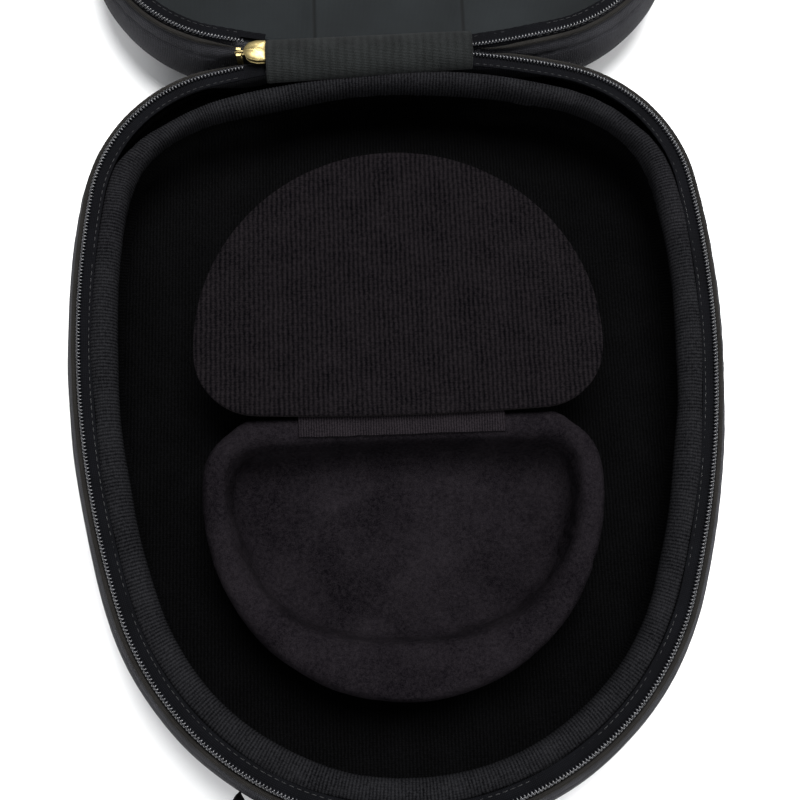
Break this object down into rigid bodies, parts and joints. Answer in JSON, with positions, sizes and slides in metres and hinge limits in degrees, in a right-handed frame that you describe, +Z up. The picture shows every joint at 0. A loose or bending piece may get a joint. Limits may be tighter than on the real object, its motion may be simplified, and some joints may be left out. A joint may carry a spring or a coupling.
{
  "type": "headphone carrying case",
  "caption": "Zip-up padded carrying case with pillowed half shells, shown open, with a D-shaped cable compartment, turn-back flap, zipper slider and carry strap.",
  "frame": {"origin": "centre of the base shell's flat bottom face, midway between the wide and narrow ends of its zipper line", "axes": "+X across the case to the right, +Y along the case to the hinge at the wide end, +Z up out of the open base"},
  "size_m": [0.2118, 0.5075, 0.0345],
  "materials": {
    "outer_fabric": "melange weave",
    "foam": "matte",
    "knit_lining": "ribbed knit",
    "piping": "woven",
    "zip_tape": "woven tape",
    "zip_teeth": "satin",
    "jersey": "smooth jersey",
    "webbing": "ribbed webbing",
    "felt": "felt",
    "knit_flap": "ribbed knit",
    "board": "matte",
    "lid_lining": "smooth satin",
    "slider_brass": "polished"
  },
  "bodies": {
    "base": {"base_cover": "outer_fabric", "base_shell": "foam", "base_floor_pad": "foam", "base_lining": "knit_lining", "base_roll": "knit_lining", "base_piping": "piping", "base_zip_tape": "zip_tape", "base_zip_teeth": "zip_teeth", "spine_cover_base": "jersey", "carry_handle": "webbing", "compartment_block": "felt", "compartment_lining": "felt", "compartment_rim": "felt", "flap_hinge_strip": "knit_flap"},
    "lid": {"lid_cover": "outer_fabric", "lid_shell": "foam", "lid_floor_pad": "foam", "lid_lining": "lid_lining", "lid_piping": "piping", "lid_zip_tape": "zip_tape", "lid_zip_teeth": "zip_teeth", "spine_cover_lid": "jersey"},
    "flap": {"flap_board": "board", "flap_face": "knit_flap", "flap_back": "felt"},
    "slider": {"slider_body": "slider_brass"},
    "pull": {"pull_tab": "slider_brass"}
  },
  "joints": [
    {"name": "lid_hinge", "type": "hinge", "parent": "base", "child": "lid", "pos_m": [0, 0.12103, 0.033], "axis": [1, 0, 0], "range_deg": [0, 179.9]},
    {"name": "flap_hinge", "type": "hinge", "parent": "base", "child": "flap", "pos_m": [0, -0.0036, 0.0302], "axis": [1, 0, 0], "range_deg": [0, 180]},
    {"name": "slider_travel", "type": "slide", "parent": "base", "child": "slider", "axis": [-1, 0, 0], "range_m": [0, 0.01]},
    {"name": "pull_swing", "type": "hinge", "parent": "slider", "child": "pull", "pos_m": [-0.0493, 0.12103, 0.0325], "axis": [0, 1, 0], "range_deg": [0, 75]}
  ]
}
